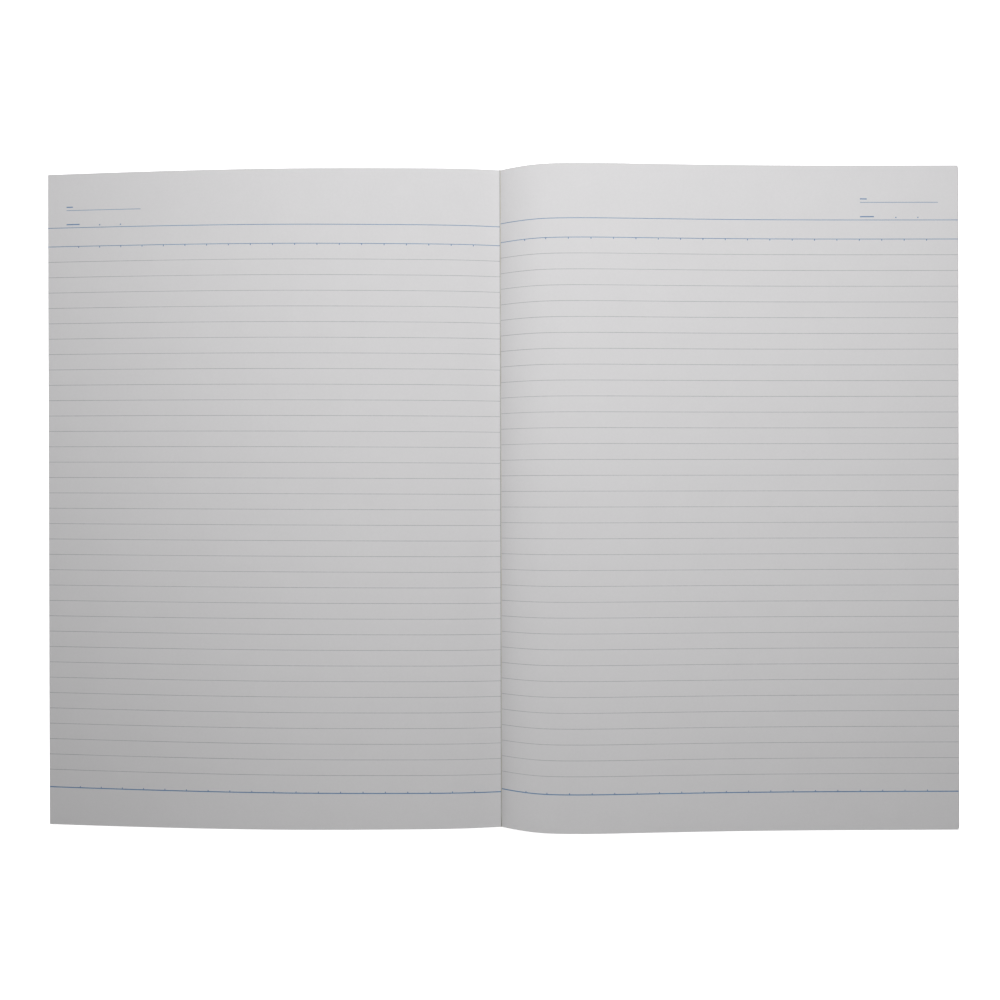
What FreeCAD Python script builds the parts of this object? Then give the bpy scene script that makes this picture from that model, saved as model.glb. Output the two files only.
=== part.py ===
import FreeCAD, Part
import os
import Sketcher

# Open composition notebook, lying on a table, opened a quarter of the way in.
# Millimetres. X runs across the spread, Y up the page, Z up from the table.
# The origin is on the table, in the middle of the fold.
# The fold is the line that the front half turns about when the notebook is closed.

DRIVING_SIZES = {
    # trimmed leaf and card covers
    "leaf_height": 296.0,
    "cover_reach": 206.2,
    "cover_thickness": 0.4,
    # eighty leaves, parted at the open place
    "leaf_thickness": 0.1,
    "left_leaf_count": 20,
    "right_leaf_count": 60,
    # cloth tape and adhesive of the spine
    "tape_reach": 25.0,
    "tape_thickness": 0.15,
    "glue_thickness": 0.2,
    "fold_clearance": 0.05,
    # left page: how far from the fold, and how far above its flat stack, its curve passes
    "left_lift_reach": 20.0,
    "left_lift_rise": 5.7,
    "left_shoulder_reach": 45.0,
    "left_shoulder_rise": 7.5,
    "left_crest_reach": 90.0,
    "left_crest_rise": 8.65,
    "left_slope_reach": 150.0,
    "left_slope_rise": 5.8,
    "left_fore_recess": 0.2,
    # right page, the same
    "right_lift_reach": 8.0,
    "right_lift_rise": 3.9,
    "right_shoulder_reach": 17.5,
    "right_shoulder_rise": 8.7,
    "right_crest_reach": 30.0,
    "right_crest_rise": 10.3,
    "right_back_reach": 60.0,
    "right_back_rise": 8.3,
    "right_slope_reach": 110.0,
    "right_slope_rise": 3.7,
    "right_tail_reach": 155.0,
    "right_tail_rise": 1.5,
    "right_fore_recess": 2.2,
}

LEFT = -1
RIGHT = 1

# An outline is first drawn roughly with these, and then its places are bound to the sizes
ROUGH_NEAR = 1
ROUGH_WALL = 2
ROUGH_RISE = 5
ROUGH_FAR = 20

# How far the volume of the tape seat may be from its sizes, as a share
SEAT_TOLERANCE = 0.001

document = FreeCAD.newDocument("open_notebook")


# Driving sizes, one named cell each
def fill_sheet():
    sheet = document.addObject("Spreadsheet::Sheet", "Sizes")
    for row, (name, value) in enumerate(DRIVING_SIZES.items(), start=1):
        sheet.set(f"A{row}", name)
        sheet.set(f"B{row}", str(value))
        sheet.setAlias(f"B{row}", name)
    document.recompute()
    return sheet


sizes = fill_sheet()

# Sizes that follow from the driving ones, as expressions and as numbers
# The fold lies half-way up the closed notebook, so that both covers meet the table when it is open
FOLD_HEIGHT = (
    "(Sizes.cover_thickness"
    " + (Sizes.left_leaf_count + Sizes.right_leaf_count) * Sizes.leaf_thickness / 2)"
)
COVER_START = "(Sizes.fold_clearance + Sizes.tape_thickness)"
PAGES_START = f"({COVER_START} + Sizes.glue_thickness)"

all_leaves = sizes.left_leaf_count + sizes.right_leaf_count
fold_height = sizes.cover_thickness + all_leaves * sizes.leaf_thickness / 2
pages_start = sizes.fold_clearance + sizes.tape_thickness + sizes.glue_thickness


# A body with a sketch on one of its own origin planes
def new_body(label):
    body = document.addObject("PartDesign::Body", label)
    body.Label = label
    return body


def new_sketch(body, plane_role, name):
    sketch = body.newObject("Sketcher::SketchObject", name)
    plane = [feature for feature in body.Origin.OriginFeatures if feature.Role == plane_role][0]
    sketch.AttachmentSupport = (plane, "")
    sketch.MapMode = "FlatFace"
    return sketch


# A closed outline of straight edges, roughed out by its corners before its places are bound
def draw_outline(sketch, corners):
    count = len(corners)
    for index in range(count):
        start = FreeCAD.Vector(*corners[index], 0)
        end = FreeCAD.Vector(*corners[(index + 1) % count], 0)
        sketch.addGeometry(Part.LineSegment(start, end), False)
    for index in range(count):
        sketch.addConstraint(Sketcher.Constraint("Coincident", index, 2, (index + 1) % count, 1))


# The place of one edge's start point across or up the sketch, bound to an expression
def bind_place(sketch, edge, direction, expression, side=RIGHT):
    point = sketch.Geometry[edge].StartPoint
    value = point.x if direction == "DistanceX" else point.y
    index = sketch.addConstraint(Sketcher.Constraint(direction, -1, 1, edge, 1, value))
    sketch.setExpression(f"Constraints[{index}]", f"{side} * {expression} * 1 mm")


# A rectangle about the X axis, from near to far on one side of the fold, as tall as the leaf
def draw_panel(sketch, side, near, far):
    corners = [
        (ROUGH_NEAR, -ROUGH_RISE),
        (ROUGH_FAR, -ROUGH_RISE),
        (ROUGH_FAR, ROUGH_RISE),
        (ROUGH_NEAR, ROUGH_RISE),
    ]
    draw_outline(sketch, [(side * across, up) for across, up in corners])
    for edge in (0, 2):
        sketch.addConstraint(Sketcher.Constraint("Horizontal", edge))
    for edge in (1, 3):
        sketch.addConstraint(Sketcher.Constraint("Vertical", edge))
    bind_place(sketch, 0, "DistanceX", near, side)
    bind_place(sketch, 1, "DistanceX", far, side)
    bind_place(sketch, 0, "DistanceY", "-Sizes.leaf_height / 2")
    bind_place(sketch, 2, "DistanceY", "Sizes.leaf_height / 2")


# Cover: a card panel, pressed thinner on its outside where the tape is stuck on
def make_cover(label, side):
    body = new_body(label)
    panel = new_sketch(body, "XY_Plane", f"{label}_panel")
    draw_panel(panel, side, COVER_START, "Sizes.cover_reach")
    pad = body.newObject("PartDesign::Pad", f"{label}_card")
    pad.Profile = panel
    pad.setExpression("Length", "Sizes.cover_thickness * 1 mm")
    document.recompute()
    seat = new_sketch(body, "XY_Plane", f"{label}_seat")
    draw_panel(seat, side, COVER_START, "Sizes.tape_reach")
    pocket = body.newObject("PartDesign::Pocket", f"{label}_tape_seat")
    pocket.Profile = seat
    pocket.Reversed = True
    pocket.setExpression("Length", "Sizes.tape_thickness * 1 mm")
    document.recompute()
    seat_width = sizes.tape_reach - sizes.fold_clearance - sizes.tape_thickness
    seat_volume = seat_width * sizes.leaf_height * sizes.tape_thickness
    removed = pad.Shape.Volume - pocket.Shape.Volume
    if abs(removed - seat_volume) > SEAT_TOLERANCE * seat_volume:
        raise ValueError(f"{label}: the tape seat took {removed:.2f} mm3, not {seat_volume:.2f}")
    return body


# Half of the spine tape: flat under the cover, then up inside the fold to its crease
def make_tape(label, side):
    body = new_body(label)
    section = new_sketch(body, "XZ_Plane", f"{label}_section")
    corners = [
        (ROUGH_NEAR, 0),
        (ROUGH_FAR, 0),
        (ROUGH_FAR, ROUGH_NEAR),
        (ROUGH_WALL, ROUGH_NEAR),
        (ROUGH_WALL, ROUGH_RISE),
        (ROUGH_NEAR, ROUGH_RISE),
    ]
    draw_outline(section, [(side * across, up) for across, up in corners])
    for edge in (0, 2, 4):
        section.addConstraint(Sketcher.Constraint("Horizontal", edge))
    for edge in (1, 3, 5):
        section.addConstraint(Sketcher.Constraint("Vertical", edge))
    section.addConstraint(Sketcher.Constraint("PointOnObject", 0, 1, -1))
    bind_place(section, 0, "DistanceX", "Sizes.fold_clearance", side)
    bind_place(section, 1, "DistanceX", "Sizes.tape_reach", side)
    bind_place(section, 2, "DistanceY", "Sizes.tape_thickness")
    bind_place(section, 3, "DistanceX", COVER_START, side)
    bind_place(section, 4, "DistanceY", FOLD_HEIGHT)
    pad = body.newObject("PartDesign::Pad", f"{label}_cloth")
    pad.Profile = section
    pad.Midplane = True
    pad.setExpression("Length", "Sizes.leaf_height * 1 mm")
    return body


# Half of the adhesive: a thin strip between the bound edges of the leaves and the tape
def make_glue(label, side):
    strip = document.addObject("Part::Box", label)
    strip.Label = label
    strip.setExpression("Length", "Sizes.glue_thickness * 1 mm")
    strip.setExpression("Width", "Sizes.leaf_height * 1 mm")
    strip.setExpression("Height", f"({FOLD_HEIGHT} - Sizes.cover_thickness) * 1 mm")
    near = COVER_START if side == RIGHT else f"-{PAGES_START}"
    strip.setExpression("Placement.Base.x", f"{near} * 1 mm")
    strip.setExpression("Placement.Base.y", "-Sizes.leaf_height / 2 * 1 mm")
    strip.setExpression("Placement.Base.z", "Sizes.cover_thickness * 1 mm")
    return strip


# Leaves of one side as one solid: flat on the cover, arched on top, cut square at head and foot
def make_pages(label, side, leaf_count, fore_recess, curve):
    base = sizes.cover_thickness
    stack_top = base + leaf_count * sizes.leaf_thickness
    half_height = sizes.leaf_height / 2

    def point(reach, height):
        return FreeCAD.Vector(side * reach, -half_height, height)

    root = point(pages_start, fold_height)
    fore_top = point(sizes.cover_reach - fore_recess, stack_top)
    crown = [root] + [point(reach, stack_top + rise) for reach, rise in curve] + [fore_top]
    arch = Part.BSplineCurve()
    arch.interpolate(crown)
    fore_bottom = point(sizes.cover_reach, base)
    root_bottom = point(pages_start, base)
    edges = [
        arch.toShape(),
        Part.LineSegment(fore_top, fore_bottom).toShape(),
        Part.LineSegment(fore_bottom, root_bottom).toShape(),
        Part.LineSegment(root_bottom, root).toShape(),
    ]
    section = Part.Face(Part.Wire(edges))
    pages = document.addObject("Part::Feature", label)
    pages.Label = label
    pages.Shape = section.extrude(FreeCAD.Vector(0, sizes.leaf_height, 0))
    pages.Placement = FreeCAD.Placement()
    return pages


left_curve = [
    (sizes.left_lift_reach, sizes.left_lift_rise),
    (sizes.left_shoulder_reach, sizes.left_shoulder_rise),
    (sizes.left_crest_reach, sizes.left_crest_rise),
    (sizes.left_slope_reach, sizes.left_slope_rise),
]
right_curve = [
    (sizes.right_lift_reach, sizes.right_lift_rise),
    (sizes.right_shoulder_reach, sizes.right_shoulder_rise),
    (sizes.right_crest_reach, sizes.right_crest_rise),
    (sizes.right_back_reach, sizes.right_back_rise),
    (sizes.right_slope_reach, sizes.right_slope_rise),
    (sizes.right_tail_reach, sizes.right_tail_rise),
]

subparts = [
    make_cover("front_cover", LEFT),
    make_cover("back_cover", RIGHT),
    make_tape("spine_tape_front", LEFT),
    make_tape("spine_tape_back", RIGHT),
    make_glue("spine_glue_front", LEFT),
    make_glue("spine_glue_back", RIGHT),
    make_pages("left_pages", LEFT, sizes.left_leaf_count, sizes.left_fore_recess, left_curve),
    make_pages("right_pages", RIGHT, sizes.right_leaf_count, sizes.right_fore_recess, right_curve),
]

document.recompute()

# Nothing is written unless every object is sound
for item in document.Objects:
    if "Invalid" in item.State or "Error" in item.State:
        raise ValueError(f"{item.Name} failed: {item.State}")
for subpart in subparts:
    if subpart.Shape.isNull() or not subpart.Shape.isValid():
        raise ValueError(f"{subpart.Label} has no valid shape")

os.makedirs("parts", exist_ok=True)
for subpart in subparts:
    subpart.Shape.exportStep(f"parts/{subpart.Label}.step")
    box = subpart.Shape.BoundBox
    print(f"{subpart.Label}: {subpart.Shape.Volume:.1f} mm3, {len(subpart.Shape.Solids)} solid,")
    print(f"    x {box.XMin:.2f} to {box.XMax:.2f}, y {box.YMin:.2f} to {box.YMax:.2f}")
    print(f"    z {box.ZMin:.2f} to {box.ZMax:.2f}")
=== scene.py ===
# %% [markdown]
# An open ruled notebook, seen from above.
# The CAD frame gives two covers, a spine tape, the adhesive and two plain blocks of pages.
# This lesson dresses them: eighty separate leaves in place of the two blocks, with their printed
# lines, then card, cloth, light and a camera. All lengths are in metres, and MM turns millimetres
# into metres.

# %% Load the frame
import math

import bpy
import numpy as np
from mathutils import Matrix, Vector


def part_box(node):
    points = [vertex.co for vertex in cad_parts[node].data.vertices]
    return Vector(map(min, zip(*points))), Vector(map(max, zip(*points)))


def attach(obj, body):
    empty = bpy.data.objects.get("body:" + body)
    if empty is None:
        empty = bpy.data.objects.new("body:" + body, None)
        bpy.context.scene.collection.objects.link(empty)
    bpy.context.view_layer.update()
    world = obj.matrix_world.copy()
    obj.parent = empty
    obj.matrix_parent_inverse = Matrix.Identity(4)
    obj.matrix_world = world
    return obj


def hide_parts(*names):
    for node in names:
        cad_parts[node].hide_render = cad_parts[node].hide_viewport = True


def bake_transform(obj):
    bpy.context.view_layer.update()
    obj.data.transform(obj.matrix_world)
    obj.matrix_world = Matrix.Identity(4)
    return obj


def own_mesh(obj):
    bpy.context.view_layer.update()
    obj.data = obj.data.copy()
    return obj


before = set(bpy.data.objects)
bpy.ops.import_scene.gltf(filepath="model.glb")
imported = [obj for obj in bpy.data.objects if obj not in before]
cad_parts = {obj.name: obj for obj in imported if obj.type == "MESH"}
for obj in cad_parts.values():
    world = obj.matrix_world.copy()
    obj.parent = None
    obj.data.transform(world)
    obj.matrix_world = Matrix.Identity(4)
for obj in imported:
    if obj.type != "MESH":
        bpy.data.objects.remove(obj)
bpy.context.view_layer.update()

MM = 0.001

# %% [markdown]
# Measures come from the frame, so the looks follow it when a size changes. The front half, left of
# the fold, has the few leaves that are turned over, and the back half, right of it, has the rest.

# %% Measures of the notebook
LEAF_PITCH = 0.1 * MM
SIDES = {
    "left": {"sign": -1, "body": "front_half", "leaves": 20, "bundles": 4},
    "right": {"sign": 1, "body": "back_half", "leaves": 60, "bundles": 8},
}
COVER_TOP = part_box("front_cover")[1][2]
HALF_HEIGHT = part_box("back_cover")[1][1]
COVER_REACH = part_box("back_cover")[1][0]
COVER_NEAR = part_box("back_cover")[0][0]
TAPE_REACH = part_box("spine_tape_back")[1][0]
TAPE_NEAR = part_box("spine_tape_back")[0][0]
FOLD_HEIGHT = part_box("spine_tape_back")[1][2]
print("cover", round(COVER_REACH / MM, 2), "x", round(2 * HALF_HEIGHT / MM, 2), "mm")
print("fold at", round(FOLD_HEIGHT / MM, 2), "mm above the table")

# %% [markdown]
# The curve of each open page is read from the foot end of its CAD block, and a natural cubic
# spline is run through those points, so that the leaves bend smoothly between them.


# %% The curve of the open pages
def page_points(node, sign):
    """The top edge of a block's foot end: (distance from the fold, height), from the fold out."""
    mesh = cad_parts[node].data
    points = np.empty(len(mesh.vertices) * 3)
    mesh.vertices.foreach_get("co", points)
    points = points.reshape(-1, 3)
    foot = points[points[:, 1] < points[:, 1].min() + 0.01 * MM]
    top = foot[foot[:, 2] > COVER_TOP + 0.01 * MM][:, [0, 2]] * (sign, 1)
    top = np.unique(np.round(top, 7), axis=0)
    return top[np.argsort(top[:, 0])]


def natural_spline(x, y):
    """The second derivatives m that join cubic pieces smoothly, with none at the two ends."""
    step = np.diff(x)
    matrix = np.eye(len(x))
    right_side = np.zeros(len(x))
    inner = np.arange(1, len(x) - 1)
    matrix[inner, inner - 1] = step[:-1] / 6
    matrix[inner, inner] = (step[:-1] + step[1:]) / 3
    matrix[inner, inner + 1] = step[1:] / 6
    right_side[inner] = np.diff(y)[1:] / step[1:] - np.diff(y)[:-1] / step[:-1]
    return np.linalg.solve(matrix, right_side)


def spline_height(curve, reach):
    """Height at each reach: a line between two points, plus the cubic that their bends ask for."""
    x, y, bend = curve
    reach = np.clip(reach, x[0], x[-1])
    i = np.clip(np.searchsorted(x, reach) - 1, 0, len(x) - 2)
    step = x[i + 1] - x[i]
    a = (x[i + 1] - reach) / step
    b = 1 - a
    cubic = ((a**3 - a) * bend[i] + (b**3 - b) * bend[i + 1]) * step**2 / 6
    return a * y[i] + b * y[i + 1] + cubic


for side, facts in SIDES.items():
    points = page_points(f"{side}_pages", facts["sign"])
    facts["curve"] = (points[:, 0], points[:, 1], natural_spline(points[:, 0], points[:, 1]))
    facts["stack_top"] = COVER_TOP + facts["leaves"] * LEAF_PITCH
    facts["recess"] = COVER_REACH - points[-1, 0]
    print(side, "curve:", len(points), "points, crest", round(points[:, 1].max() / MM, 2), "mm")

# %% [markdown]
# Every thin piece here, a leaf, a cover or a printed line, is the same kind of surface: a top and
# an underside, each a height over a grid, closed round its rim. One function makes the mesh, so
# that all of them face outwards and have no open edge.


# %% Closed sheets
SHARP_TURN = math.radians(40)


def sheet_faces(columns, rows):
    """Corner numbers of a closed sheet: top cells, the same cells turned over, and the rim."""
    number = np.arange(columns * rows).reshape(columns, rows)
    low = number + columns * rows
    top = np.stack([number[:-1, :-1], number[1:, :-1], number[1:, 1:], number[:-1, 1:]], axis=-1)
    top = top.reshape(-1, 4)
    rim = np.concatenate([number[:, 0], number[-1, 1:], number[-2::-1, -1], number[0, -2:0:-1]])
    under = low.ravel()[rim]
    walls = np.stack([rim, under, np.roll(under, -1), np.roll(rim, -1)], axis=-1)
    return top, top[:, ::-1] + columns * rows, walls


def sheet_points(x, y, top, bottom):
    """Points of the top grid, then those of the underside, as one list."""
    upper = np.stack(np.broadcast_arrays(x, y, top), axis=-1).reshape(-1, 3)
    lower = np.stack(np.broadcast_arrays(x, y, bottom), axis=-1).reshape(-1, 3)
    return np.concatenate([upper, lower])


def gather(sheets):
    """Joins sheets (x, y, top, bottom, material of faces, material of rim) in one list."""
    points, faces, slots = [], [], []
    start = 0
    for x, y, top, bottom, face_slot, rim_slot in sheets:
        columns, rows = np.broadcast_shapes(x.shape, y.shape, top.shape)
        upper, under, walls = sheet_faces(columns, rows)
        if (x[-1, 0] - x[0, 0]) * (y[0, -1] - y[0, 0]) < 0:
            upper, under, walls = upper[:, ::-1], under[:, ::-1], walls[:, ::-1]
        points.append(sheet_points(x, y, top, bottom))
        faces.append(np.concatenate([upper, under, walls]) + start)
        slots.append(np.repeat([face_slot, rim_slot], [2 * len(upper), len(walls)]))
        start += len(points[-1])
    return np.concatenate(points), np.concatenate(faces), np.concatenate(slots)


def build(name, sheets, materials, smooth=True):
    """Puts gathered sheets into a mesh with its materials, and links its object at the origin."""
    points, faces, slots = gather(sheets)
    mesh = bpy.data.meshes.new(name)
    mesh.vertices.add(len(points))
    mesh.vertices.foreach_set("co", points.ravel())
    mesh.loops.add(faces.size)
    mesh.loops.foreach_set("vertex_index", faces.ravel())
    mesh.polygons.add(len(faces))
    mesh.polygons.foreach_set("loop_start", np.arange(0, faces.size, 4))
    mesh.polygons.foreach_set("material_index", slots)
    mesh.polygons.foreach_set("use_smooth", np.full(len(faces), smooth))
    mesh.update(calc_edges=True)
    mesh.validate()
    mesh.set_sharp_from_angle(angle=SHARP_TURN)
    for material in materials:
        mesh.materials.append(material)
    piece = bpy.data.objects.new(name, mesh)
    bpy.context.scene.collection.objects.link(piece)
    return piece


# %% [markdown]
# Materials are node trees. A small helper adds a node, sets its values and joins it to others,
# which keeps each tree readable as a list of steps.


# %% Helpers for node trees
def add(tree, kind, inputs=None, **settings):
    """Adds one node. A value in inputs that is a socket is joined, and any other is written in."""
    node = tree.nodes.new(kind)
    for name, value in settings.items():
        setattr(node, name, value)
    for name, value in (inputs or {}).items():
        if isinstance(value, bpy.types.NodeSocket):
            tree.links.new(value, node.inputs[name])
        else:
            node.inputs[name].default_value = value
    return node


def mix_colour(tree, share, first, second, mode="MIX"):
    """A colour between two others, by share."""
    node = add(tree, "ShaderNodeMix", data_type="RGBA", blend_type=mode)
    for index, value in ((0, share), (6, first), (7, second)):
        if isinstance(value, bpy.types.NodeSocket):
            tree.links.new(value, node.inputs[index])
        else:
            node.inputs[index].default_value = value
    return node.outputs[2]


def maths(tree, operation, first, second=0.0, clamp=False):
    """One sum of two values or sockets."""
    node = add(tree, "ShaderNodeMath", {0: first, 1: second}, operation=operation, use_clamp=clamp)
    return node.outputs[0]


def weighted(tree, first, first_part, second, second_part):
    """Two values added, each times its part."""
    first = maths(tree, "MULTIPLY", first, first_part)
    second = maths(tree, "MULTIPLY", second, second_part)
    return maths(tree, "ADD", first, second)


def spread(tree, value, low, high, to_low, to_high):
    """Maps a value from one span to another and holds it inside the new span."""
    inputs = {0: value, 1: low, 2: high, 3: to_low, 4: to_high}
    return add(tree, "ShaderNodeMapRange", inputs).outputs[0]


def noise(tree, place, scale, detail=2.0, roughness=0.5):
    """Smooth random values from 0 to 1, scale features to the metre."""
    inputs = {"Vector": place, "Scale": scale, "Detail": detail, "Roughness": roughness}
    return add(tree, "ShaderNodeTexNoise", inputs).outputs[0]


def stretched(tree, place, scale):
    """The same place, stretched, so that a pattern on it runs long one way."""
    return add(tree, "ShaderNodeMapping", {"Vector": place, "Scale": scale}).outputs["Vector"]


FLOAT, VECTOR, COLOUR = "NodeSocketFloat", "NodeSocketVector", "NodeSocketColor"


def new_group(name, inputs, outputs):
    """An empty node group with its named inputs and outputs, and its two end nodes."""
    tree = bpy.data.node_groups.new(name, "ShaderNodeTree")
    for label, kind in inputs:
        tree.interface.new_socket(label, in_out="INPUT", socket_type=kind)
    for label, kind in outputs:
        tree.interface.new_socket(label, in_out="OUTPUT", socket_type=kind)
    start = tree.nodes.new("NodeGroupInput")
    end = tree.nodes.new("NodeGroupOutput")
    return tree, start, end


def new_material(name):
    """A material with its Principled shader and the place of each point on the object."""
    material = bpy.data.materials.new(name)
    material.use_nodes = True
    tree = material.node_tree
    shader = tree.nodes["Principled BSDF"]
    place = tree.nodes.new("ShaderNodeTexCoord").outputs["Object"]
    return material, tree, shader, place


def grey(red, green=None, blue=None):
    """A colour with full alpha, grey where only one value is given."""
    return (red, red if green is None else green, red if blue is None else blue, 1.0)


# %% [markdown]
# Paper and card are both pressed fibre: cloudy where the fibres lie thicker, finely flecked, and a
# little uneven to the touch. One node group makes the three parts of that, and each material
# chooses how strong they are.


# %% Group for pressed fibre
def fibre_group():
    """Clouds of about 12 mm, flecks of about 1 mm and fine hairs, added to a base colour."""
    inputs = [("Place", VECTOR), ("Base", COLOUR), ("Clouds", FLOAT), ("Flecks", FLOAT)]
    outputs = [("Color", COLOUR), ("Roughness", FLOAT), ("Height", FLOAT)]
    tree, start, end = new_group("pressed_fibre", inputs, outputs)
    place = start.outputs["Place"]
    clouds = noise(tree, place, 80.0, 3.0)
    flecks = noise(tree, place, 900.0, 2.0, 0.6)
    hairs = noise(tree, stretched(tree, place, (1.0, 0.35, 1.0)), 2600.0, 1.0)
    cloudy = maths(tree, "SUBTRACT", clouds, 0.5)
    flecked = maths(tree, "SUBTRACT", flecks, 0.5)
    change = weighted(tree, cloudy, start.outputs["Clouds"], flecked, start.outputs["Flecks"])
    level = maths(tree, "ADD", change, 1.0)
    shade = add(tree, "ShaderNodeCombineColor", {0: level, 1: level, 2: level}).outputs[0]
    colour = mix_colour(tree, 1.0, start.outputs["Base"], shade, "MULTIPLY")
    rough = spread(tree, flecks, 0.2, 0.8, 0.72, 0.86)
    height = weighted(tree, flecks, 0.7, hairs, 0.3)
    for label, value in (("Color", colour), ("Roughness", rough), ("Height", height)):
        tree.links.new(value, end.inputs[label])
    return tree


FIBRE = fibre_group()


def placed(tree, group, inputs):
    """A group node with its inputs set or joined."""
    return add(tree, "ShaderNodeGroup", inputs, node_tree=group)


def fibre(tree, place, base, clouds, flecks):
    """Places the fibre group in a material with that material's own values."""
    return placed(tree, FIBRE, {"Place": place, "Base": base, "Clouds": clouds, "Flecks": flecks})


def finish_with(tree, shader, colour, rough, height, depth):
    """Joins colour and roughness to the shader, and a height in metres through a Bump node."""
    tree.links.new(colour, shader.inputs["Base Color"])
    tree.links.new(rough, shader.inputs["Roughness"])
    bump = add(tree, "ShaderNodeBump", {"Height": height, "Strength": 0.5, "Distance": depth})
    tree.links.new(bump.outputs["Normal"], shader.inputs["Normal"])


# %% [markdown]
# Writing paper is uncoated, so it has almost no gloss. The pages are a neutral grey-white. The cut
# edges of the leaves are a second finish: slightly warmer and streaked, because a guillotine drags
# the fibres and no two leaves end at quite the same place.


# %% Paper
def page_paper():
    """Neutral white, faint clouds, fine flecks."""
    material, tree, shader, place = new_material("page_paper")
    paper = fibre(tree, place, grey(0.700, 0.693, 0.700), 0.035, 0.05).outputs
    finish_with(tree, shader, paper["Color"], paper["Roughness"], paper["Height"], 0.02 * MM)
    shader.inputs["Specular IOR Level"].default_value = 0.25
    return material


def cut_edges():
    """Streaks along the leaves: noise about 30 times longer across the page than through it."""
    material, tree, shader, place = new_material("cut_leaf_edges")
    streaks = noise(tree, stretched(tree, place, (0.03, 0.03, 1.0)), 5200.0, 2.0, 0.7)
    marks = noise(tree, place, 45.0, 2.0)
    streaky = spread(tree, streaks, 0.3, 0.7, 0.0, 1.0)
    base = mix_colour(tree, streaky, grey(0.56, 0.55, 0.54), grey(0.76, 0.75, 0.73))
    soil = spread(tree, marks, 0.5, 0.8, 0.0, 0.25)
    soiled = mix_colour(tree, soil, base, grey(0.58, 0.56, 0.53))
    rough = spread(tree, streaks, 0.2, 0.8, 0.78, 0.92)
    finish_with(tree, shader, soiled, rough, streaks, 0.03 * MM)
    shader.inputs["Specular IOR Level"].default_value = 0.2
    return material


PAGE_PAPER = page_paper()
CUT_EDGES = cut_edges()

# %% [markdown]
# Each leaf is its own thin sheet. Leaf number i of n starts from the place it has in the closed
# notebook, i pitches above the cover, and takes a share of the open curve that grows with i. Near
# the fold the share grows evenly, because the adhesive holds the bound edges evenly apart, and
# further out it grows faster than i, so the lowest leaves lie on the cover and the top ones arch.
# The top leaf on the left is tucked over the adhesive, right up to the fold. The one on the right
# isn't, because it would cut into the front half's adhesive when the notebook closes.

# %% Shape of a leaf
FAN_POWER = 1.5
BOUND_ZONE = 10 * MM
ROOT_THICKNESS, LEAF_THICKNESS, FULL_FROM = 0.056 * MM, 0.092 * MM, 60 * MM
SETTLE = 0.015 * MM
SWELL, SINK, FREE_FROM = 0.05 * MM, 0.1 * MM, 40 * MM
EVEN_PART = 0.35
ROOT_START = 0.42 * MM
TUCK_START, TUCK_RISE = 0.03 * MM, 0.1 * MM
SIDES["left"]["top_start"], SIDES["right"]["top_start"] = TUCK_START, ROOT_START


def leaf_reaches(start, end, count):
    """Distances from the fold, close together where the page bends and wider apart further out."""
    even = np.linspace(0, 1, count)
    return start + (end - start) * (EVEN_PART * even + (1 - EVEN_PART) * even**2)


def page_waves(reach, y):
    """Two faint slanting waves added, each a sine of reach and y over lengths of its own."""
    first = np.sin(reach / (23 * MM) + y / (41 * MM))
    second = np.sin(y / (29 * MM) - reach / (57 * MM) + 2)
    return first + second


def leaf_middle(facts, share, rest_height, reach, y):
    """Middle height: rest height, plus the share of the page's rise, plus waves and the tuck."""
    tuck = TUCK_RISE * np.clip(1 - reach / ROOT_START, 0, 1) ** 0.5
    bound = np.clip(reach / BOUND_ZONE, 0, 1)
    bound = bound**2 * (3 - 2 * bound)
    rise = spline_height(facts["curve"], reach) - facts["stack_top"]
    portion = share ** (1 + (FAN_POWER - 1) * bound)
    free = np.clip(reach / FREE_FROM, 0, 1) * share**2
    swell = free * (SWELL * page_waves(reach, y) - SINK)
    return rest_height + portion * rise + swell - SETTLE + tuck


def half_thickness(reach):
    """Half of a leaf's thickness, which grows evenly from the bound edge to a full leaf."""
    grown = np.clip(reach / FULL_FROM, 0, 1)
    return (ROOT_THICKNESS + (LEAF_THICKNESS - ROOT_THICKNESS) * grown) / 2


def leaf_rest(number):
    """Height of a leaf's middle in the closed notebook."""
    return COVER_TOP + (number - 0.5) * LEAF_PITCH


def fore_edge(facts, number):
    """Where a leaf ends: the fore edges step back evenly from the cover to the top leaf."""
    return COVER_REACH - facts["recess"] * (number - 0.5) / facts["leaves"]


def leaf_sheet(facts, number, columns, rows, trim=(0.0, 0.0, 0.0)):
    """One leaf as (x, y, top, bottom, face and rim material). Trim pulls in its three edges."""
    start = facts["top_start"] if number == facts["leaves"] else ROOT_START
    reach = leaf_reaches(start, fore_edge(facts, number) - trim[0], columns)[:, None]
    y = np.linspace(-HALF_HEIGHT + trim[1], HALF_HEIGHT - trim[2], rows)[None, :]
    middle = leaf_middle(facts, number / facts["leaves"], leaf_rest(number), reach, y)
    half = half_thickness(reach)
    return facts["sign"] * reach, y, middle + half, middle - half, 0, 1


# %% [markdown]
# A pile of eighty single objects would be slow to move and to bake. The top leaf of each side is a
# piece of its own, with a fine grid, because it is what the picture shows. The leaves below it are
# joined in bundles of four to eight. Small random trims keep the stack from looking machined.

# %% Leaves
TOP_GRID, BUNDLE_GRID = (150, 61), (70, 13)
EDGE_PLAY = 0.25 * MM
PAPER = [PAGE_PAPER, CUT_EDGES]
dice = np.random.default_rng(80)


def press(piece, facts):
    """Rides the piece on its half, with a mesh of its own."""
    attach(piece, facts["body"])
    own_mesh(piece)


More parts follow.
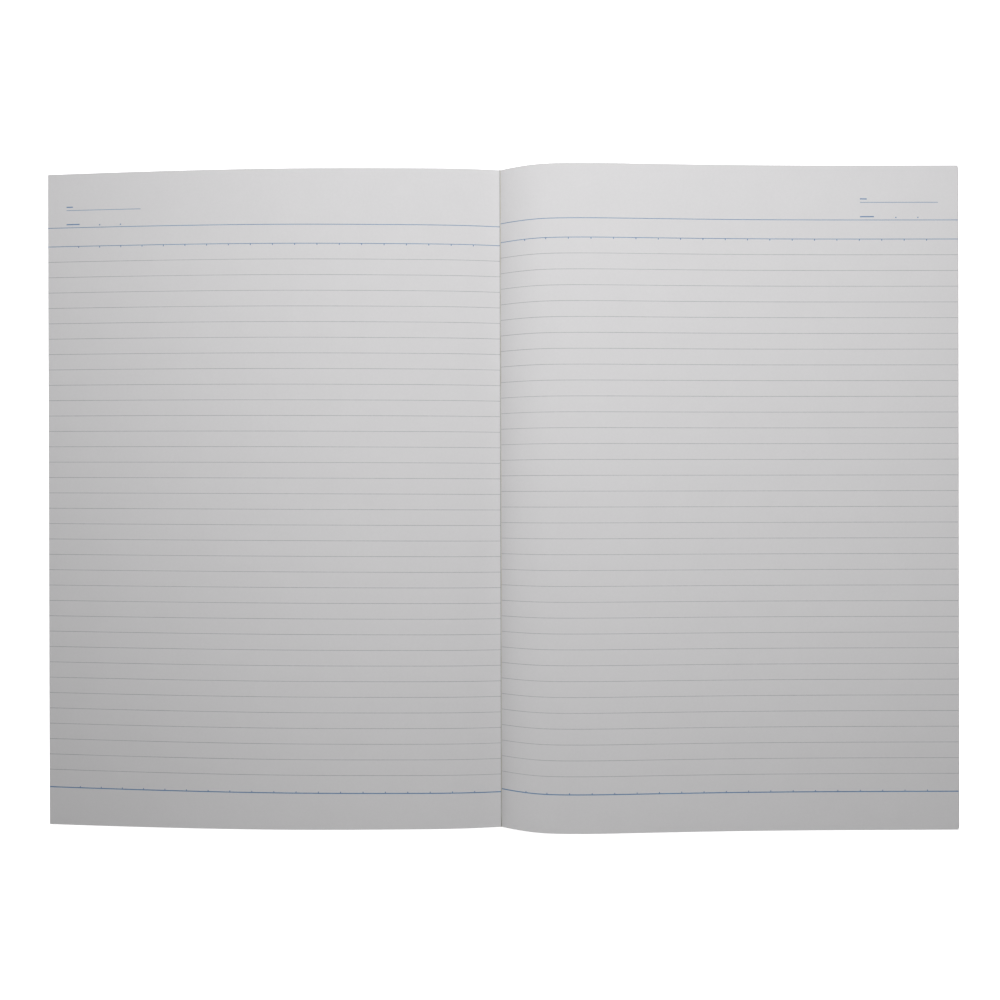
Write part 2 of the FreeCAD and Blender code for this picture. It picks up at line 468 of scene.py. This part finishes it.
leaf_pieces = []
for side, facts in SIDES.items():
    top_number = facts["leaves"]
    top_leaf = build(f"{side}_top_leaf", [leaf_sheet(facts, top_number, *TOP_GRID)], PAPER)
    press(top_leaf, facts)
    leaf_pieces.append((side, top_leaf))
    bundles = np.array_split(np.arange(1, top_number), facts["bundles"])
    for index, numbers in enumerate(bundles, start=1):
        trims = dice.uniform(0.05, 1.0, (len(numbers), 3)) * EDGE_PLAY
        sheets = [
            leaf_sheet(facts, number, *BUNDLE_GRID, trim)
            for number, trim in zip(numbers, trims, strict=True)
        ]
        bundle = build(f"{side}_leaves_{index}", sheets, PAPER)
        press(bundle, facts)
        leaf_pieces.append((side, bundle))
    print(side, "leaves:", facts["leaves"], "in", facts["bundles"] + 1, "pieces")

# %% [markdown]
# Leaves that lie flat on the cover touch each other, and light doesn't pass between them. A block
# just inside the edges stands for that tight part of the stack. It keeps below the open leaves,
# and it is what fills the notebook when it is closed.

# %% Tight part of the stack
BLOCK_INSET = 0.4 * MM
BLOCK_START, BLOCK_LIFT = 0.1 * MM, 0.01 * MM
UNDER_LEAF, UNDER_STACK = 2.5 * LEAF_PITCH, 1.5 * LEAF_PITCH
BLOCK_GRID = (60, 3)


def block_sheet(facts):
    """Flat on the cover, as high as the closed stack, and lower where the top leaf is lower."""
    start = facts["curve"][0][0] + BLOCK_START
    low_end = COVER_REACH - BLOCK_INSET
    high_end = low_end - facts["recess"]
    even = np.linspace(0, 1, BLOCK_GRID[0])[:, None] ** 1.6
    reach = start + (high_end - start) * even
    half_length = HALF_HEIGHT - BLOCK_INSET
    y = np.linspace(-half_length, half_length, BLOCK_GRID[1])[None, :]
    under_leaf = spline_height(facts["curve"], reach) - UNDER_LEAF
    top = np.minimum(facts["stack_top"] - UNDER_STACK, under_leaf) + 0 * y
    return facts["sign"] * reach, y, top, np.full_like(top, COVER_TOP + BLOCK_LIFT), 0, 1


for side, facts in SIDES.items():
    block = build(f"{side}_tight_leaves", [block_sheet(facts)], PAPER, smooth=False)
    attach(block, facts["body"])
    leaf_pieces.append((side, block))

for side, piece in leaf_pieces:
    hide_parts(f"{side}_pages")
print("paper pieces:", len(leaf_pieces))

# %% [markdown]
# The ruling is printed, so it is thin, slightly uneven in strength, and follows the page exactly. A
# line under a fifth of a millimetre wide would be lost in a texture of the whole page, so each
# line is a ribbon laid on the leaf: the same surface function gives its height, a hair above the
# paper. There are two inks, a soft grey for the writing rules and a blue for the frame lines.


# %% Printing inks
def ink(name, strong, weak):
    """Ink that takes unevenly: noise moves it between a strong and a weak colour."""
    material, tree, shader, place = new_material(name)
    take = noise(tree, place, 700.0, 3.0, 0.6)
    patches = noise(tree, place, 30.0, 1.0)
    share = spread(tree, weighted(tree, take, 0.6, patches, 0.4), 0.35, 0.65, 0.0, 1.0)
    colour = mix_colour(tree, share, strong, weak)
    finish_with(tree, shader, colour, spread(tree, take, 0.2, 0.8, 0.55, 0.7), take, 0.004 * MM)
    return material


GREY_INK = ink("grey_rule_ink", grey(0.30, 0.31, 0.33), grey(0.44, 0.45, 0.46))
BLUE_INK = ink("blue_line_ink", grey(0.045, 0.15, 0.32), grey(0.095, 0.235, 0.42))
GREY_SLOT, BLUE_SLOT = 0, 1

# %% [markdown]
# The layout is a plain writing page: two blue lines at the head, thirty-four grey rules 7 mm
# apart, and a blue line at the foot, with a small tick every 10 mm. A field line, two dots and two
# short plain bars stand where the head of the page has its form fields, and no words are printed.

# %% Layout of the printing
RULE_PITCH = 7 * MM
RULE_COUNT = 34
HEAD_LINES = (127.25 * MM, 118.75 * MM)
FIRST_RULE = 111.75 * MM
FOOT_LINE = -127.25 * MM
TICK_PITCH = 10 * MM
TICK_COUNT = 19
RULE_WIDTH = 0.20 * MM
HEAD_WIDTH = 0.25 * MM
FOOT_WIDTH = 0.42 * MM
INK_LIFT = 0.006 * MM
INK_SINK = 0.02 * MM
LINE_MARGIN = 0.02 * MM
LINE_STEPS = 150
TICK_SAMPLES = 4000

# The print sits a little low on each sheet. Fields and dots are millimetres in from the fore edge.
SIDES["left"].update(
    print_drop=-4.84 * MM,
    print_lean=0.00585,
    tick_margin=14.74 * MM,
    field=(8.9, 43.85),
    dots=(24.6, 34.4),
)
SIDES["right"].update(
    print_drop=-3.49 * MM,
    print_lean=-0.00044,
    tick_margin=13.93 * MM,
    field=(43.6, 8.85),
    dots=(27.6, 17.8),
)


def printed(facts, reach, y, slot):
    """A strip of ink over the grid reach by y. Its y is moved by the drop, and leans with reach."""
    y = y + facts["print_drop"] + facts["print_lean"] * reach
    middle = leaf_middle(facts, 1.0, leaf_rest(facts["leaves"]), reach, y)
    paper = middle + half_thickness(reach)
    return facts["sign"] * reach, y, paper + INK_LIFT, paper - INK_SINK, slot, slot


def long_line(facts, y, width, slot):
    """A line right across the page, from the fold to the fore edge."""
    end = fore_edge(facts, facts["leaves"]) - LINE_MARGIN
    reach = leaf_reaches(facts["top_start"] + LINE_MARGIN, end, LINE_STEPS)[:, None]
    return printed(facts, reach, np.array([[y - width / 2, y + width / 2]]), slot)


def blue_mark(facts, ends, low, high, columns=2):
    """A bar, tick or dot in blue, between two reaches in any order and two heights."""
    reach = np.linspace(min(ends), max(ends), columns)[:, None]
    return printed(facts, reach, np.array([[low, high]]), BLUE_SLOT)


def tick_reaches(facts):
    """Where the ticks stand: even steps along the curved page, measured back from its fore edge."""
    end = fore_edge(facts, facts["leaves"])
    reach = np.linspace(facts["curve"][0][0], end, TICK_SAMPLES)
    height = spline_height(facts["curve"], reach)
    along = np.concatenate([[0], np.cumsum(np.hypot(np.diff(reach), np.diff(height)))])
    marks = along[-1] - facts["tick_margin"] - TICK_PITCH * np.arange(TICK_COUNT)
    return np.interp(marks, along, reach)


# %% Print both pages
TICK_WIDTH, TICK_LENGTH = 0.34 * MM, 0.75 * MM
DOT = 0.5 * MM
DOT_LINE = 128.35 * MM
FIELD_LINE, FIELD_WIDTH, FIELD_STEPS = 135.0 * MM, 0.2 * MM, 12
FIELD_BARS = ((136.6 * MM, 3.0 * MM), (128.7 * MM, 6.2 * MM))
BAR_WIDTH, BAR_STEPS = 0.44 * MM, 4


def ticks(facts):
    """Two ticks at each place: one hangs from the lower head line, one stands on the foot line."""
    marks = []
    for reach in tick_reaches(facts):
        ends = (reach - TICK_WIDTH / 2, reach + TICK_WIDTH / 2)
        marks.append(blue_mark(facts, ends, HEAD_LINES[1] - TICK_LENGTH, HEAD_LINES[1]))
        marks.append(blue_mark(facts, ends, FOOT_LINE, FOOT_LINE + TICK_LENGTH))
    return marks


def form_fields(facts):
    """The field line, two dots, and a plain bar where each word of the form would stand."""
    end = fore_edge(facts, facts["leaves"])
    first, last = (end - edge * MM for edge in facts["field"])
    top = FIELD_LINE + FIELD_WIDTH
    marks = [blue_mark(facts, (first, last), FIELD_LINE, top, FIELD_STEPS)]
    for edge in facts["dots"]:
        ends = (end - edge * MM - DOT / 2, end - edge * MM + DOT / 2)
        marks.append(blue_mark(facts, ends, DOT_LINE - DOT / 2, DOT_LINE + DOT / 2))
    outward = 1 if last > first else -1
    for y, length in FIELD_BARS:
        ends = (first, first + outward * length)
        marks.append(blue_mark(facts, ends, y - BAR_WIDTH / 2, y + BAR_WIDTH / 2, BAR_STEPS))
    return marks


for side, facts in SIDES.items():
    rules = [FIRST_RULE - RULE_PITCH * number for number in range(RULE_COUNT)]
    lines = [long_line(facts, y, RULE_WIDTH, GREY_SLOT) for y in rules]
    lines += [long_line(facts, y, HEAD_WIDTH, BLUE_SLOT) for y in HEAD_LINES]
    lines.append(long_line(facts, FOOT_LINE, FOOT_WIDTH, BLUE_SLOT))
    lines += ticks(facts) + form_fields(facts)
    ruling = build(f"{side}_printed_lines", lines, [GREY_INK, BLUE_INK])
    press(ruling, facts)
    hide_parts(f"{side}_pages")
    print(side, "print:", len(lines), "strips,", len(ruling.data.polygons), "faces")

# %% [markdown]
# The covers are card, with a coloured outer face and a plain inner one. Each is a sheet whose
# outside is pressed in where the tape is stuck on, with a soft score line beside the spine that
# lets the card bend, and edges rounded by handling. Wear shows on card as pale fibre along its
# edges and corners, so the finish follows the distance to the edge.


# %% Card
def edge_wear_group():
    """How worn a place is: 1 at the edge of a sheet, 0 a few millimetres in, broken by noise."""
    inputs = [("Place", VECTOR), ("Reach", FLOAT), ("Half Height", FLOAT), ("Width", FLOAT)]
    tree, start, end = new_group("edge_wear", inputs, [("Worn", FLOAT)])
    parts = add(tree, "ShaderNodeSeparateXYZ", {0: start.outputs["Place"]}).outputs
    from_middle = [maths(tree, "ABSOLUTE", parts[axis]) for axis in ("X", "Y")]
    across = maths(tree, "SUBTRACT", start.outputs["Reach"], from_middle[0])
    along = maths(tree, "SUBTRACT", start.outputs["Half Height"], from_middle[1])
    nearest = maths(tree, "MINIMUM", across, along)
    patchy = noise(tree, start.outputs["Place"], 260.0, 4.0, 0.65)
    uneven = spread(tree, patchy, 0.35, 0.75, 0.1, 1.6)
    reach_in = maths(tree, "MULTIPLY", start.outputs["Width"], uneven)
    worn = maths(tree, "SUBTRACT", 1.0, maths(tree, "DIVIDE", nearest, reach_in), clamp=True)
    tree.links.new(worn, end.inputs["Worn"])
    return tree


EDGE_WEAR = edge_wear_group()


def edge_wear(tree, place, reach, width):
    """Places the edge wear group for a sheet that reaches so far, and is as tall as the book."""
    inputs = {"Place": place, "Reach": reach, "Half Height": HALF_HEIGHT, "Width": width}
    return placed(tree, EDGE_WEAR, inputs).outputs["Worn"]


def card(name, base, clouds, flecks, worn_width):
    """Fibre card with pale wear at its edges and faint scuffs that are long along the book."""
    material, tree, shader, place = new_material(name)
    fibres = fibre(tree, place, base, clouds, flecks).outputs
    worn = edge_wear(tree, place, COVER_REACH, worn_width)
    scuffs = noise(tree, stretched(tree, place, (1.0, 0.25, 1.0)), 120.0, 5.0, 0.7)
    scuffed = maths(tree, "MULTIPLY", spread(tree, scuffs, 0.6, 0.75, 0.0, 1.0), 0.12)
    pale = maths(tree, "MAXIMUM", maths(tree, "MULTIPLY", worn, 0.8), scuffed)
    colour = mix_colour(tree, pale, fibres["Color"], grey(0.62, 0.60, 0.56))
    polish = spread(tree, pale, 0.0, 0.5, 0.22, 0.0)
    rough = maths(tree, "SUBTRACT", fibres["Roughness"], polish)
    finish_with(tree, shader, colour, rough, fibres["Height"], 0.05 * MM)
    return material


COVER_CARD = card("cover_card_outside", grey(0.075, 0.105, 0.150), 0.16, 0.20, 1.2 * MM)
CARD_LINING = card("cover_card_inside", grey(0.60, 0.585, 0.55), 0.06, 0.10, 0.5 * MM)

# %% Covers
SCORE_AT, SCORE_WIDTH, SCORE_DEPTH = 7 * MM, 1.2 * MM, 0.10 * MM
ROUNDING = 0.15 * MM
SEAT_DEPTH = 0.15 * MM
SEAT_STEP = 0.02 * MM
CUSHION = 0.4 * MM
FACES_UP = 0.3


def cover_sheet(sign):
    """A top and an underside that draw together in a quarter circle before each free edge."""
    score_start, score_end = SCORE_AT - SCORE_WIDTH, SCORE_AT + SCORE_WIDTH
    edge = CUSHION * (1 - np.sin(np.linspace(0.2, 1, 6) * math.pi / 2))
    reach = np.concatenate(
        [
            np.linspace(COVER_NEAR, score_start, 6),
            np.linspace(score_start, score_end, 13)[1:],
            np.linspace(score_end, TAPE_REACH, 10)[1:],
            [TAPE_REACH + SEAT_STEP],
            np.linspace(TAPE_REACH + SEAT_STEP, COVER_REACH - CUSHION, 40)[1:],
            COVER_REACH - edge,
        ]
    )[:, None]
    inner = np.linspace(-HALF_HEIGHT + CUSHION, HALF_HEIGHT - CUSHION, 49)
    y = np.concatenate([(-HALF_HEIGHT + edge)[::-1], inner, HALF_HEIGHT - edge])[None, :]
    from_edge = np.minimum(COVER_REACH - reach, HALF_HEIGHT - np.abs(y))
    short_of_flat = 1 - np.clip(from_edge / CUSHION, 0, 1)
    draw_in = ROUNDING * (1 - np.sqrt(np.clip(1 - short_of_flat**2, 0, 1)))
    score = SCORE_DEPTH * np.exp(-(((reach - SCORE_AT) / (SCORE_WIDTH / 2)) ** 2))
    seat = np.where(reach <= TAPE_REACH, SEAT_DEPTH, 0.0)
    top = COVER_TOP - draw_in - score
    bottom = seat + draw_in * (seat == 0)
    return sign * reach, y, top, bottom, 0, 1


for side, facts in SIDES.items():
    label = "front_cover" if side == "left" else "back_cover"
    cover = build(f"{label}_card", [cover_sheet(facts["sign"])], [CARD_LINING, COVER_CARD])
    face_count = len(cover.data.polygons)
    normals = np.empty(face_count * 3)
    cover.data.polygons.foreach_get("normal", normals)
    slots = np.where(normals.reshape(-1, 3)[:, 2] > FACES_UP, 0, 1)
    cover.data.polygons.foreach_set("material_index", slots)
    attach(cover, facts["body"])
    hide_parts(label)
    print(cover.name, "faces:", face_count)

# %% [markdown]
# The adhesive is a thin, pale, slightly rubbery strip between the bound edges and the tape. Its CAD
# solid already has the right shape, so it stays, and only its finish changes: a soft sheen, with
# ripples where the brush dragged and dust caught in it. The tape's inside gets the same finish.


# %% Adhesive
def adhesive():
    """Pale strip with ripples across it and a faint yellowing."""
    material, tree, shader, place = new_material("spine_adhesive")
    ripples = noise(tree, stretched(tree, place, (1.0, 0.3, 1.0)), 1500.0, 2.0)
    aged = noise(tree, place, 90.0, 3.0)
    yellowed = spread(tree, aged, 0.35, 0.7, 0.0, 1.0)
    colour = mix_colour(tree, yellowed, grey(0.66, 0.65, 0.62), grey(0.58, 0.55, 0.48))
    sheen = spread(tree, ripples, 0.2, 0.8, 0.35, 0.6)
    finish_with(tree, shader, colour, sheen, ripples, 0.03 * MM)
    return material


ADHESIVE = adhesive()
for label in ("spine_glue_front", "spine_glue_back"):
    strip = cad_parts[label]
    if not strip.material_slots:
        strip.data.materials.append(ADHESIVE)
    for material_slot in strip.material_slots:
        material_slot.material = ADHESIVE
    print(label, "keeps its CAD shape")

# %% [markdown]
# One strip of book cloth holds the two covers and wraps the spine. Open like this, it is folded
# double: flat under the front cover, up the inside of the spine, over a crease at the fold, and
# down again. The crease has a point on each side of the fold and none on it, so that the closed
# spine is flat. The weave runs along the strip, so it follows the strip's own UV map.

# %% Spine tape
TAPE_THICKNESS = 0.15 * MM
CREASE_OUTSIDE, CREASE_INSIDE = 0.01 * MM, 0.03 * MM
TURN_RADIUS = 0.3 * MM
TAPE_ROWS = 40


def line(across, up):
    """Points (across, up) of a run of the profile."""
    return np.stack(np.broadcast_arrays(across, up), axis=1)


def tape_profile():
    """Outer line of the strip from one free edge to the other, with its inner line beside it."""
    inner_wall = TAPE_NEAR + TAPE_THICKNESS
    inner_radius = TURN_RADIUS - TAPE_THICKNESS
    inner_foot = TAPE_THICKNESS + inner_radius
    flat = np.linspace(TAPE_REACH, TAPE_NEAR + 2 * TURN_RADIUS, 24)
    turn = np.linspace(0, math.pi / 2, 6)
    over, up = 1 - np.sin(turn), 1 - np.cos(turn)
    outer = np.concatenate(
        [
            line(flat, 0.0),
            line(TAPE_NEAR + TURN_RADIUS * over, TURN_RADIUS * up),
            line(TAPE_NEAR, np.linspace(TURN_RADIUS, FOLD_HEIGHT - 0.25 * MM, 10)[1:]),
            line(TAPE_NEAR * np.array([0.8, 0.5]), FOLD_HEIGHT - np.array([0.21, 0.19]) * MM),
            line([CREASE_OUTSIDE], FOLD_HEIGHT - 0.18 * MM),
        ]
    )
    inner = np.concatenate(
        [
            line(flat, TAPE_THICKNESS),
            line(inner_wall + inner_radius * over, TAPE_THICKNESS + inner_radius * up),
            line(inner_wall, np.linspace(inner_foot, FOLD_HEIGHT - 0.12 * MM, 10)[1:]),
            line(inner_wall * np.array([0.9, 0.5]), FOLD_HEIGHT - np.array([0.07, 0.02]) * MM),
            line([CREASE_INSIDE], FOLD_HEIGHT - 0.01 * MM),
        ]
    )
    mirror = np.array([-1, 1])
    outer = np.concatenate([outer * mirror, outer[::-1]])
    inner = np.concatenate([inner * mirror, inner[::-1]])
    return outer, inner


def tape_mesh(cloth, coating):
    """The closed strip: both lines carried along the book, with a UV map in metres.

    Cloth covers it, and the coating its inside, apart from the three stripes of the crease."""
    outer, inner = tape_profile()
    y = np.linspace(-HALF_HEIGHT, HALF_HEIGHT, TAPE_ROWS)
    count = len(outer)
    ring = np.concatenate([outer, inner[::-1]])
    points = np.stack(np.broadcast_arrays(ring[:, None, 0], y[None, :], ring[:, None, 1]), axis=-1)
    number = np.arange(2 * count * len(y)).reshape(2 * count, len(y))
    around = np.roll(number, -1, axis=0)
    walls = np.stack([number[:, :-1], around[:, :-1], around[:, 1:], number[:, 1:]], axis=-1)
    walls = walls.reshape(-1, 4)
    pair = np.arange(count - 1)
    ends = []
    for row, turn in ((0, 1), (len(y) - 1, -1)):
        a, b = number[pair, row], number[pair + 1, row]
        c, d = number[2 * count - 2 - pair, row], number[2 * count - 1 - pair, row]
        ends.append(np.stack([a, d, c, b], axis=-1)[:, ::turn])
    faces = np.concatenate([walls, *ends])
    stripe = np.arange(len(walls)) // (len(y) - 1)
    crease = count + count // 2 - 1
    coated = (stripe >= count) & (stripe < 2 * count - 1) & (np.abs(stripe - crease) > 1)
    mesh = bpy.data.meshes.new("spine_tape")
    mesh.from_pydata(points.reshape(-1, 3).tolist(), [], faces.tolist())
    along = np.concatenate([[0], np.cumsum(np.hypot(*np.diff(outer, axis=0).T))])
    u = np.concatenate([along, along[::-1]])
    uv = np.stack(np.broadcast_arrays(u[:, None], y[None, :] + HALF_HEIGHT), axis=-1)
    uv = uv.reshape(-1, 2)
    loops = np.empty(len(mesh.loops), dtype=np.int64)
    mesh.loops.foreach_get("vertex_index", loops)
    layer = mesh.uv_layers.new(name="strip")
    layer.data.foreach_set("uv", uv[loops].ravel())
    mesh.polygons.foreach_set("use_smooth", np.full(len(mesh.polygons), True))
    mesh.materials.append(cloth)
    mesh.materials.append(coating)
    material_slots = np.zeros(len(faces), dtype=np.int32)
    material_slots[: len(walls)] = coated
    mesh.polygons.foreach_set("material_index", material_slots)
    mesh.update()
    return mesh


# %% [markdown]
# Book cloth is a plain weave: two sets of threads, each going over and under the other. Two
# waves across each other give the threads their height, a coarser noise makes slubs, and the
# edge wear group frays the strip's edges. The colour follows that height too: lighter on the
# raised threads, darker in the hollows between them, which is painted shade, with the slubs'
# uneven tone in it.


# %% Book cloth
THREAD_PITCH = 0.55 * MM


def book_cloth():
    """Plain weave: the product of two crossed sines, with slubs, fading and fraying on top.

    Its colour is lighter where the weave is high and darker in its hollows: painted shade.
    """
    material, tree, shader, place = new_material("spine_cloth")
    strip = add(tree, "ShaderNodeUVMap", uv_map="strip").outputs["UV"]
    parts = add(tree, "ShaderNodeSeparateXYZ", {0: strip})
    thread = 2 * math.pi / THREAD_PITCH
    warp = maths(tree, "SINE", maths(tree, "MULTIPLY", parts.outputs["X"], thread))
    weft = maths(tree, "SINE", maths(tree, "MULTIPLY", parts.outputs["Y"], thread))
    weave = maths(tree, "MULTIPLY", warp, weft)
    slubs = noise(tree, stretched(tree, strip, (1.0, 0.12, 1.0)), 900.0, 2.0)
    height = maths(tree, "ADD", maths(tree, "MULTIPLY", weave, 0.5), slubs)
    fade = noise(tree, place, 60.0, 3.0)
    # The weave's height sets its colour: painted shade, lighter on raised threads and darker in
    # hollows, with the slubs' tone in it.
    weave_shade_and_slub_tone = spread(tree, height, 0.0, 1.0, 0.0, 1.0)
    base = mix_colour(tree, weave_shade_and_slub_tone, grey(0.018, 0.022, 0.030), grey(0.060, 0.068, 0.082))
    faded_part = spread(tree, fade, 0.4, 0.75, 0.0, 0.35)
    faded = mix_colour(tree, faded_part, base, grey(0.110, 0.115, 0.125))
    frayed = maths(tree, "MULTIPLY", edge_wear(tree, place, TAPE_REACH, 0.6 * MM), 0.5)
    colour = mix_colour(tree, frayed, faded, grey(0.24))
    finish_with(tree, shader, colour, spread(tree, slubs, 0.2, 0.8, 0.7, 0.9), height, 0.06 * MM)
    return material


spine_tape = bpy.data.objects.new("spine_tape", tape_mesh(book_cloth(), ADHESIVE))
bpy.context.scene.collection.objects.link(spine_tape)
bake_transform(spine_tape)
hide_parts("spine_tape_front", "spine_tape_back")
print("spine tape faces:", len(spine_tape.data.polygons))

# %% [markdown]
# The floor is a plain pale sheet, far larger than the notebook. A little light of its own, which
# only the camera and reflections see, brings it to white, and the notebook's soft shadow stays,
# because the light that falls on it is untouched. From below it is clear, so that the underside of
# the covers can be looked at too. It lies a hair lower than the covers, so that the two don't mix.


# %% Floor
FLOOR_GLOW = 0.92
FLOOR_HALF = 3.0
FLOOR_DROP = 0.02 * MM


def seen_rays(tree):
    """1 for camera, glossy and transmission rays, 0 for the rays that light things."""
    rays = tree.nodes.new("ShaderNodeLightPath").outputs
    seen = maths(tree, "MAXIMUM", rays["Is Camera Ray"], rays["Is Glossy Ray"])
    return maths(tree, "MAXIMUM", seen, rays["Is Transmission Ray"])


def floor_finish():
    """White sheet with a very faint grain, brightened for camera, glossy and transmission rays."""
    material, tree, shader, place = new_material("floor_sheet")
    grain = noise(tree, place, 30.0, 3.0)
    colour = mix_colour(tree, grain, grey(0.90), grey(0.92))
    tree.links.new(colour, shader.inputs["Base Color"])
    shader.inputs["Roughness"].default_value = 0.9
    shader.inputs["Specular IOR Level"].default_value = 0.0
    shader.inputs["Emission Color"].default_value = grey(1.0)
    glow = maths(tree, "MULTIPLY", seen_rays(tree), FLOOR_GLOW)
    tree.links.new(glow, shader.inputs["Emission Strength"])
    from_below = tree.nodes.new("ShaderNodeNewGeometry").outputs["Backfacing"]
    clear = tree.nodes.new("ShaderNodeBsdfTransparent").outputs[0]
    shown = add(tree, "ShaderNodeMixShader", {0: from_below, 1: shader.outputs[0], 2: clear})
    tree.links.new(shown.outputs[0], tree.nodes["Material Output"].inputs["Surface"])
    return material


floor_mesh = bpy.data.meshes.new("floor")
corners = np.array([[-1, -1, 0], [1, -1, 0], [1, 1, 0], [-1, 1, 0]]) * FLOOR_HALF
corners = corners - (0, 0, FLOOR_DROP)
floor_mesh.from_pydata(corners.tolist(), [], [[0, 1, 2, 3]])
floor_mesh.materials.append(floor_finish())
floor = bpy.data.objects.new("floor", floor_mesh)
bpy.context.scene.collection.objects.link(floor)
print("floor", 2 * FLOOR_HALF, "m wide")

# %% [markdown]
# The light in a product picture like this is one large soft lamp above the head of the pages, with
# an even fill from all round. The soft lamp makes the paper darker from head to foot, and dims the
# steep side of the right-hand pages beside the fold.

# %% Lamp
LAMP_PLACE = (0.024, 0.165, 0.33)
LAMP_SIZE = 0.675
LAMP_POWER = 2.25

lamp_data = bpy.data.lights.new("soft_lamp", "AREA")
lamp_data.shape = "SQUARE"
lamp_data.size = LAMP_SIZE
lamp_data.energy = LAMP_POWER
lamp = bpy.data.objects.new("soft_lamp", lamp_data)
lamp.location = LAMP_PLACE
lamp.visible_camera = False
bpy.context.scene.collection.objects.link(lamp)


def turned_to(forward, up):
    """Rotation whose minus Z looks along forward, with Y as near to up as it can be."""
    back = -np.array(forward, float) / np.linalg.norm(forward)
    sideways = np.cross(up, back)
    sideways /= np.linalg.norm(sideways)
    return np.stack([sideways, np.cross(back, sideways), back], axis=1)


def set_rotation(thing, axes):
    """Gives an object the rotation whose three columns are its own X, Y and Z."""
    matrix = np.eye(4)
    matrix[:3, :3] = axes
    matrix[:3, 3] = thing.location
    thing.matrix_world = Matrix(matrix.tolist())


set_rotation(lamp, turned_to(-np.array(LAMP_PLACE), (0, 1, 0)))
print("lamp", LAMP_POWER, "W at", LAMP_PLACE)

# %% [markdown]
# The fill comes from the world. It is brighter near the horizon, like the pale walls round a table,
# so that the upright edges of the book are lit as well as its pages. The camera, and anything that
# shines, sees plain white there.


# %% World
FILL, RING, RING_TOP = 0.05, 1.8, 0.3


def fill_world():
    """Strength: a base, and a ring that fades out as the direction rises from the horizon."""
    world = bpy.data.worlds.new("even_fill")
    world.use_nodes = True
    tree = world.node_tree
    direction = tree.nodes.new("ShaderNodeTexCoord").outputs["Generated"]
    rise = maths(tree, "ABSOLUTE", add(tree, "ShaderNodeSeparateXYZ", {0: direction}).outputs["Z"])
    strength = spread(tree, rise, 0.0, RING_TOP, RING, FILL)
    choice = {0: seen_rays(tree), 2: strength, 3: 1.0}
    shown = add(tree, "ShaderNodeMix", choice, data_type="FLOAT").outputs[0]
    background = tree.nodes["Background"]
    background.inputs["Color"].default_value = grey(1.0)
    tree.links.new(shown, background.inputs["Strength"])
    return world


bpy.context.scene.world = fill_world()
print("fill", FILL, "and up to", RING, "near the horizon")

# %% [markdown]
# The camera looks almost straight down, turned by one or two degrees, as the picture's
# perspective shows. Its place and turn were fitted to the outline and the ruling.

# %% Camera
FOCAL_SHARE = 1.332
SENSOR = 36.0
NEAR_CLIP = 0.01
YAW, PITCH, ROLL = 0.02432, 0.00236, 0.00229
CAMERA_PLACE = (14.384 * MM, 0.819 * MM, 604.4 * MM)

camera_data = bpy.data.cameras.new("camera")
camera_data.sensor_width = SENSOR
camera_data.lens = FOCAL_SHARE * SENSOR
camera_data.clip_start = NEAR_CLIP
camera = bpy.data.objects.new("camera", camera_data)
camera.location = CAMERA_PLACE
bpy.context.scene.collection.objects.link(camera)

# The picture's own right and up, first level, then turned by the roll
across = np.array([math.cos(YAW), 0, -math.sin(YAW)])
down = np.array([-math.sin(YAW), 0, -math.cos(YAW)])
ahead = math.cos(PITCH) * down - math.sin(PITCH) * np.array([0, 1, 0])
upward = math.sin(PITCH) * down + math.cos(PITCH) * np.array([0, 1, 0])
picture_right = math.cos(ROLL) * across - math.sin(ROLL) * upward
picture_up = math.sin(ROLL) * across + math.cos(ROLL) * upward
set_rotation(camera, np.stack([picture_right, picture_up, -ahead], axis=1))
bpy.context.scene.camera = camera
bpy.context.scene.view_settings.view_transform = "Standard"
print("lens", round(camera_data.lens, 2), "mm")
